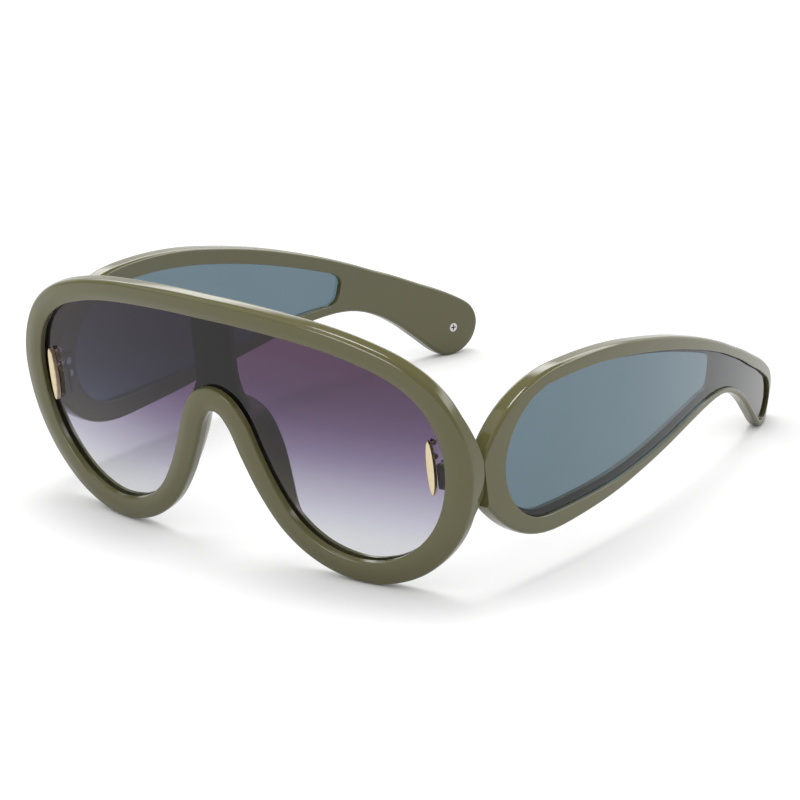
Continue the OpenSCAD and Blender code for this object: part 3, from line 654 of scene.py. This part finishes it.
def mix_colours(tree, share, a, b):
    return add(tree, "ShaderNodeMix", {"data_type": "RGBA"}, i0=share, i6=a, i7=b).outputs[2]


def mix_values(tree, share, a, b):
    return add(tree, "ShaderNodeMix", {"data_type": "FLOAT"}, i0=share, i2=a, i3=b).outputs[0]


def span(tree, value, low, high, first=0.0, last=1.0):
    """Low up to the first value, high from the last one on, and straight between them."""
    return add(tree, "ShaderNodeMapRange", Value=value, i1=first, i2=last, i3=low,
               i4=high).outputs[0]


def along(tree, place, way):
    """How far a place lies along a way."""
    return add(tree, "ShaderNodeVectorMath", {"operation": "DOT_PRODUCT"}, i0=place,
               i1=tuple(way)).outputs["Value"]


def noise(tree, where, scale, detail, roughness=0.5):
    return add(tree, "ShaderNodeTexNoise", Vector=where, Scale=scale, Detail=detail,
               Roughness=roughness).outputs["Fac"]


def stretched_noise(tree, where, scales, detail):
    stretched = add(tree, "ShaderNodeMapping", Vector=where, Scale=scales).outputs[0]
    return noise(tree, stretched, scale=1.0, detail=detail, roughness=0.6)


def bump(tree, height, strength, distance, **more):
    return add(tree, "ShaderNodeBump", Strength=strength, Distance=distance, Height=height,
               **more).outputs[0]


def ramp(tree, factor, stops):
    node = add(tree, "ShaderNodeValToRGB", Fac=factor)
    while len(node.color_ramp.elements) < len(stops):
        node.color_ramp.elements.new(1.0)
    for element, (place, colour) in zip(node.color_ramp.elements, stops):
        element.position = place
        element.color = colour
    return node.outputs["Color"]


def light_path(tree):
    """The light path, and a value that is 1 where the camera looks, also through the lenses."""
    path = add(tree, "ShaderNodeLightPath")
    return path, maths(tree, "MAXIMUM", path.outputs["Is Camera Ray"],
                       path.outputs["Is Transmission Ray"])


def new_material(name):
    material = bpy.data.materials.new(name)
    material.use_nodes = True
    tree = material.node_tree
    tree.nodes.clear()
    return material, tree


def object_place(tree):
    return add(tree, "ShaderNodeTexCoord").outputs["Object"]


def finish_surface(tree, socket):
    add(tree, "ShaderNodeOutputMaterial", Surface=socket)


# ---------------------------------------------------------------- materials
WHITE = (1, 1, 1, 1)


def plastic(name, base, warm, deep):
    """Glossy solid-coloured acetate: a slow drift of colour, faint ripples and scuffs."""
    material, tree = new_material(name)
    where = object_place(tree)
    body = mix_colours(tree, noise(tree, where, scale=38.0, detail=2.0), deep, base)
    cloud = span(tree, noise(tree, where, scale=14.0, detail=1.0), low=0.0, high=0.2,
                 first=0.45, last=0.8)
    colour = mix_colours(tree, cloud, body, warm)
    scuff = stretched_noise(tree, where, scales=(900.0, 160.0, 700.0), detail=5.0)
    rough = span(tree, scuff, low=0.10, high=0.17, first=0.35, last=0.75)
    ripple = bump(tree, noise(tree, where, scale=160.0, detail=1.0), strength=0.12,
                  distance=0.0002)
    fine = bump(tree, scuff, strength=0.04, distance=0.00004, Normal=ripple)
    shader = add(tree, "ShaderNodeBsdfPrincipled", Base_Color=colour, Roughness=rough, IOR=1.5,
                 Normal=fine)
    shader.inputs["Coat Weight"].default_value = 0.25
    shader.inputs["Coat Roughness"].default_value = 0.03
    finish_surface(tree, shader.outputs[0])
    return material


# A clear sheet's shine: seen head-on, and the share of it that is left on the inside
HEAD_ON, GLANCE_POWER, INSIDE_SHARE = 0.042, 5.0, 0.1


def sheet_surface(tree, where, tint, smudge_scale, glance):
    """A thin clear sheet: it tints what is behind it, and shines more at a glancing view."""
    facing = add(tree, "ShaderNodeLayerWeight", Blend=0.5).outputs["Facing"]
    rise = maths(tree, "MULTIPLY", maths(tree, "POWER", facing, GLANCE_POWER), glance)
    backfacing = add(tree, "ShaderNodeNewGeometry").outputs["Backfacing"]
    outside = maths(tree, "MULTIPLY", maths(tree, "SUBTRACT", 1.0, backfacing), 1 - INSIDE_SHARE)
    share = maths(tree, "MULTIPLY", maths(tree, "ADD", rise, HEAD_ON),
                  maths(tree, "ADD", outside, INSIDE_SHARE))
    clear = add(tree, "ShaderNodeBsdfTransparent", Color=tint)
    rough = span(tree, noise(tree, where, smudge_scale, detail=4.0), low=0.015, high=0.06)
    wave = bump(tree, noise(tree, where, scale=45.0, detail=1.0), strength=0.05, distance=0.0001)
    shine = add(tree, "ShaderNodeBsdfGlossy", Color=WHITE, Roughness=rough, Normal=wave)
    sheet = add(tree, "ShaderNodeMixShader", i0=share, i1=clear.outputs[0], i2=shine.outputs[0])
    finish_surface(tree, sheet.outputs[0])


# Light that the shield lens lets through, at heights above its middle
LENS_LOW, LENS_HIGH = -30.0, 30.0
LENS_STOPS = [(-29, (0.70, 0.71, 0.73)), (-23.3, (0.60, 0.607, 0.64)), (-18, (0.49, 0.48, 0.565)),
              (-9.7, (0.32, 0.30, 0.39)), (-2.4, (0.19, 0.153, 0.247)),
              (5.4, (0.115, 0.075, 0.145)), (12.6, (0.082, 0.046, 0.096)),
              (24, (0.069, 0.031, 0.067))]


def gradient_material(name):
    material, tree = new_material(name)
    where = object_place(tree)
    up = FRONT_POSE.to_3x3() @ Vector((0, 0, 1))
    base = up.dot(TO_METRES @ (FRONT_POSE @ Vector((0, 0, 0))))
    place = span(tree, along(tree, where, up), low=0.0, high=1.0, first=base + LENS_LOW * MM,
                 last=base + LENS_HIGH * MM)
    stops = [((z - LENS_LOW) / (LENS_HIGH - LENS_LOW), root(c)) for z, c in LENS_STOPS]
    sheet_surface(tree, where, ramp(tree, place, stops), smudge_scale=70.0, glance=0.95)
    return material


# A slow drift of the light that an insert lets through: places on the noise, and shares
INSERT_DRIFT = [(0.3, 0.97), (0.7, 1.03)]


def insert_material(name, through):
    material, tree = new_material(name)
    where = object_place(tree)
    stops = [(place, root([v * share for v in through])) for place, share in INSERT_DRIFT]
    tint = ramp(tree, noise(tree, where, scale=30.0, detail=1.0), stops)
    sheet_surface(tree, where, tint, smudge_scale=60.0, glance=1.15)
    return material


# Painted shade in the screw's recess: it turns from bright to dark between these depths below the
# top of its head
PAINTED_SHADE_START, PAINTED_SHADE_FULL = 0.06, 0.12
PAINTED_SHADE_COLOUR = (0.01, 0.01, 0.01, 1)


def metal(name, colour, dark, rough, grain, recess=None):
    """Metal with a fine grain. A recess, given as a point and its outward way, gets painted shade
    inside.
    """
    material, tree = new_material(name)
    where = object_place(tree)
    lines = stretched_noise(tree, where, grain, detail=4.0)
    tint = mix_colours(tree, lines, dark, colour)
    if recess:
        point, way = recess
        # The right side is folded onto the left
        here = add(tree, "ShaderNodeSeparateXYZ", Vector=where)
        folded = add(tree, "ShaderNodeCombineXYZ",
                     X=add(tree, "ShaderNodeMath", {"operation": "ABSOLUTE"},
                           i0=here.outputs["X"]).outputs[0],
                     Y=here.outputs["Y"], Z=here.outputs["Z"]).outputs[0]
        top = point.dot(way)
        unshaded = span(tree, along(tree, folded, way), low=0.0, high=1.0,
                   first=top - PAINTED_SHADE_FULL * MM, last=top - PAINTED_SHADE_START * MM)
        # Painted shade: the floor of the screw's recess is coloured almost black
        tint = mix_colours(tree, unshaded, PAINTED_SHADE_COLOUR, tint)
    shader = add(tree, "ShaderNodeBsdfPrincipled", Base_Color=tint,
                 Roughness=span(tree, lines, *rough),
                 Normal=bump(tree, lines, strength=0.05, distance=0.00003))
    shader.inputs["Metallic"].default_value = 1.0
    finish_surface(tree, shader.outputs[0])
    return material


OLIVE = plastic("olive_acetate", base=srgb(105, 102, 65), warm=srgb(112, 102, 44),
                deep=srgb(101, 99, 62))
LENS = gradient_material("gradient_tint")
INSERT = insert_material("blue_grey_tint", through=(0.106, 0.162, 0.196))
GOLD = metal("pale_gold", srgb(240, 228, 196), srgb(224, 202, 156), rough=(0.16, 0.3),
             grain=(300, 300, 2500))
BRIGHT = dict(colour=srgb(226, 227, 229), dark=srgb(196, 197, 200), rough=(0.22, 0.36),
              grain=(1500, 1500, 400))
STEEL = metal("bright_steel", **BRIGHT)
# The tip screw's recess gets painted shade
SCREW = metal("bright_screw", **BRIGHT, recess=(TO_METRES @ SCREW_POSE @ Vector((0, 0, 0)),
                                                SCREW_POSE.to_3x3() @ Vector((0, 0, 1))))
DARK = metal("dark_hinge_metal", srgb(92, 92, 95), srgb(60, 60, 63), rough=(0.28, 0.42),
             grain=(600, 600, 2500))


# ---------------------------------------------------------------- the pieces
def dress(obj, material, body, slot, *stands_for):
    obj.data.materials.clear()
    obj.data.materials.append(material)
    for face in obj.data.polygons:
        face.material_index = 0
    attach(obj, body)
    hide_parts(*stands_for)
    # Small faces beside a large flat one don't bend its shading
    obj.modifiers.new("normals", "WEIGHTED_NORMAL").keep_sharp = True


front = build_front()
dress(front, OLIVE, "front", "olive_plastic", "front_frame")
lens = build_lens()
dress(lens, LENS, "front", "shield_tint", "shield_lens")
badge = build_badge()
dress(badge, GOLD, "front", "gilt", "badge_left")
badge_right = mirrored(badge, "gold_badge_right")
dress(badge_right, GOLD, "front", "gilt", "badge_right")
arm = build_arm()
insert = build_insert()
dress(arm, OLIVE, "temple_left", "olive_plastic", "temple_arm_left")
dress(insert, INSERT, "temple_left", "insert_tint", "temple_lens_left")
arm_right = mirrored(arm, "temple_moulding_right")
dress(arm_right, OLIVE, "temple_right", "olive_plastic", "temple_arm_right")
insert_right = mirrored(insert, "temple_insert_right")
dress(insert_right, INSERT, "temple_right", "insert_tint", "temple_lens_right")

# The model's own metal pieces, with their material and the width of their bevels
METAL_PIECES = [("front_hinge_", DARK, 0.08), ("temple_hinge_", DARK, 0.08),
                ("badge_clips_", STEEL, 0.06), ("front_hinge_rivets_", STEEL, 0.08),
                ("temple_hinge_rivets_", STEEL, 0.08), ("hinge_screw_", STEEL, 0.08),
                ("tip_screw_", SCREW, 0.07)]
for side in ("left", "right"):
    for name, material, width in METAL_PIECES:
        piece = nodes[name + side]
        piece.data.materials.clear()
        piece.data.materials.append(material)
        smooth(piece, PLAIN_ANGLE)
        add_bevel(piece, "edges", width, segments=2, angle=40)

# ---------------------------------------------------------------- floor
# The floor lies just below the feet. The camera sees it white, with the shadows of the lamps and
# a soft one close to what stands on it.
FLOOR_REACH, FLOOR_Z = 4.0, -0.00005
FLOOR_COLOUR, FLOOR_GLOW, FLOOR_SHINE_GLOW, SOFT_SHADOW_REACH = 0.6, 0.5, 0.3, 0.03

floor_mesh = bpy.data.meshes.new("floor")
floor_mesh.from_pydata([(x * FLOOR_REACH, y * FLOOR_REACH, FLOOR_Z)
                        for x, y in ((-1, -1), (1, -1), (1, 1), (-1, 1))], [], [(0, 1, 2, 3)])
floor = bpy.data.objects.new("floor", floor_mesh)
bpy.context.scene.collection.objects.link(floor)
material, tree = new_material("white_floor")
path, plain_seen = light_path(tree)
seen = maths(tree, "MAXIMUM", maths(tree, "MULTIPLY", plain_seen, FLOOR_GLOW),
             maths(tree, "MULTIPLY", path.outputs["Is Glossy Ray"], FLOOR_SHINE_GLOW))
plain = add(tree, "ShaderNodeBsdfDiffuse", Color=(FLOOR_COLOUR, FLOOR_COLOUR, FLOOR_COLOUR, 1))
open_part = add(tree, "ShaderNodeAmbientOcclusion", {"samples": 8},
                Distance=SOFT_SHADOW_REACH).outputs["AO"]
glow = add(tree, "ShaderNodeEmission", Color=WHITE,
           Strength=maths(tree, "MULTIPLY", seen, open_part))
both = add(tree, "ShaderNodeAddShader", i0=plain.outputs[0], i1=glow.outputs[0])
finish_surface(tree, both.outputs[0])
floor_mesh.materials.append(material)

# ---------------------------------------------------------------- light
# What shines on the glasses: a pale wall behind with a bright band high up, a dim room in front
# with one small bright patch in it, and a dark ceiling
ROOM_FRONT, ROOM_BACK, BAND, PATCH, CEILING = 0.35, 0.9, 2.8, 5.0, 0.3
PATCH_WAY = Vector((-0.05, -0.95, 0.22)).normalized()
# Light on dull surfaces, and what the camera sees of the world
FILL, PLAIN_WORLD = 0.66, 1.0

world = bpy.data.worlds.new("studio")
bpy.context.scene.world = world
world.use_nodes = True
tree = world.node_tree
tree.nodes.clear()
path, plain_seen = light_path(tree)
way = add(tree, "ShaderNodeTexCoord").outputs["Generated"]
toward = add(tree, "ShaderNodeSeparateXYZ", Vector=way)
back_way, up_way = toward.outputs["Y"], toward.outputs["Z"]
behind = span(tree, back_way, low=ROOM_FRONT, high=ROOM_BACK, first=-0.1, last=0.3)
band = maths(tree, "MULTIPLY", span(tree, back_way, low=0.0, high=BAND, first=0.1, last=0.4),
             span(tree, up_way, low=0.0, high=1.0, first=0.36, last=0.46))
patch = span(tree, along(tree, way, PATCH_WAY), low=0.0, high=PATCH,
             first=cos(radians(14)), last=cos(radians(9)))
wall = maths(tree, "ADD", maths(tree, "ADD", behind, band), patch)
ceiling = span(tree, up_way, low=0.0, high=1.0, first=0.56, last=0.66)
room = mix_values(tree, ceiling, wall, CEILING)
unseen = mix_values(tree, path.outputs["Is Glossy Ray"], FILL, room)
strength = mix_values(tree, plain_seen, unseen, PLAIN_WORLD)
background = add(tree, "ShaderNodeBackground", Color=WHITE, Strength=strength)
add(tree, "ShaderNodeOutputWorld", Surface=background.outputs[0])


def sun(name, power, place, spread):
    """A sun that shines from a place to the middle."""
    light = bpy.data.lights.new(name, "SUN")
    light.energy = power
    light.angle = radians(spread)
    obj = bpy.data.objects.new(name, light)
    obj.location = place
    obj.rotation_euler = (-Vector(place)).to_track_quat("-Z", "Y").to_euler()
    bpy.context.scene.collection.objects.link(obj)


sun("overhead", power=1.2, place=(-0.1, 0.05, 1.0), spread=24)
sun("front_left", power=0.45, place=(-0.6, -0.7, 0.8), spread=60)

# ---------------------------------------------------------------- camera
CAMERA_PLACE = (0.4914, -0.66533, 0.2946)
CAMERA_TURN, CAMERA_DIP = radians(36.89), radians(18.47)

camera_data = bpy.data.cameras.new("camera")
camera_data.sensor_width = 36.0
camera_data.lens = 148.6
camera_data.clip_end = 20.0
camera = bpy.data.objects.new("camera", camera_data)
camera.location = CAMERA_PLACE
camera.rotation_euler = (pi / 2 - CAMERA_DIP, 0, CAMERA_TURN)
bpy.context.scene.collection.objects.link(camera)
bpy.context.scene.camera = camera
bpy.context.scene.view_settings.view_transform = "Standard"
